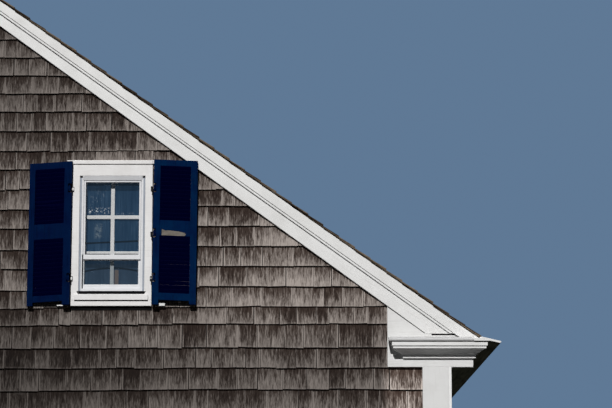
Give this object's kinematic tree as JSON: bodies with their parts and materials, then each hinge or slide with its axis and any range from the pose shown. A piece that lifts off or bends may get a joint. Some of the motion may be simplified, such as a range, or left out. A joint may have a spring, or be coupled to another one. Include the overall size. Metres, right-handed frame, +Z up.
{
  "type": "shingled gable end with shuttered window",
  "caption": "Gable end of a small shingled timber house with a sash window under the rake, hinged louvred shutters, boxed cornice returns and a timber shingle roof.",
  "frame": {"origin": "on the ground, at the middle of the plan", "axes": "+Z up, the pictured gable faces -Y, +X is the right-hand eave seen from the front"},
  "size_m": [8.042, 6.372, 5.8986],
  "materials": {
    "stone": "rough",
    "timber": "matt",
    "roof_shingle": "weathered",
    "wall_shingle": "weathered",
    "white_paint": "satin paint",
    "cream_paint": "satin paint",
    "storm_paint": "satin paint",
    "pane": "clear",
    "black_iron": "matt paint",
    "navy_paint": "satin paint"
  },
  "bodies": {
    "house": {"foundation": "stone", "ground_floor": "timber", "upper_floor": "timber", "front_wall": "timber", "back_wall": "timber", "right_wall": "timber", "left_wall": "timber", "right_roof_deck": "timber", "left_roof_deck": "timber", "right_roof_shingles": "roof_shingle", "left_roof_shingles": "roof_shingle", "ridge_boards": "roof_shingle", "front_wall_shingles": "wall_shingle", "back_wall_shingles": "wall_shingle", "right_wall_shingles": "wall_shingle", "left_wall_shingles": "wall_shingle", "corner_boards": "white_paint", "side_corner_boards": "white_paint", "right_rake_frieze": "white_paint", "right_rake_fascia": "white_paint", "other_rake_boards": "white_paint", "right_return_board": "white_paint", "right_return_crown": "white_paint", "right_return_cap": "white_paint", "other_cornice_returns": "white_paint", "right_eave_soffit": "white_paint", "right_eave_crown": "white_paint", "right_eave_drip": "white_paint", "left_eave_cornice": "white_paint", "window_casing": "cream_paint", "window_cap": "cream_paint", "window_apron": "cream_paint", "window_sill": "cream_paint", "window_jambs": "cream_paint", "storm_frame": "storm_paint", "storm_fittings": "black_iron", "storm_panels": "storm_paint", "storm_glass": "pane", "window_sash": "storm_paint", "sash_glass": "pane", "shutter_pintles": "black_iron", "shutter_blocks": "white_paint", "other_window_casings": "cream_paint", "other_window_sashes": "storm_paint", "other_window_glass": "pane", "other_shutters": "navy_paint", "side_door": "navy_paint", "side_door_casing": "cream_paint"},
    "left_shutter": {"left_shutter_frame": "navy_paint", "left_shutter_slats": "navy_paint", "left_shutter_eyes": "black_iron"},
    "right_shutter": {"right_shutter_frame": "navy_paint", "right_shutter_slats": "navy_paint", "right_shutter_bare_wood": "timber", "right_shutter_eyes": "black_iron"}
  },
  "joints": [
    {"name": "left_shutter_hinge", "type": "hinge", "parent": "house", "child": "left_shutter", "pos_m": [1.032, -3.114, 3.8], "axis": [0, 0, 1], "range_deg": [0, 184]},
    {"name": "right_shutter_hinge", "type": "hinge", "parent": "house", "child": "right_shutter", "pos_m": [1.624, -3.114, 3.8], "axis": [0, 0, -1], "range_deg": [0, 181]}
  ]
}
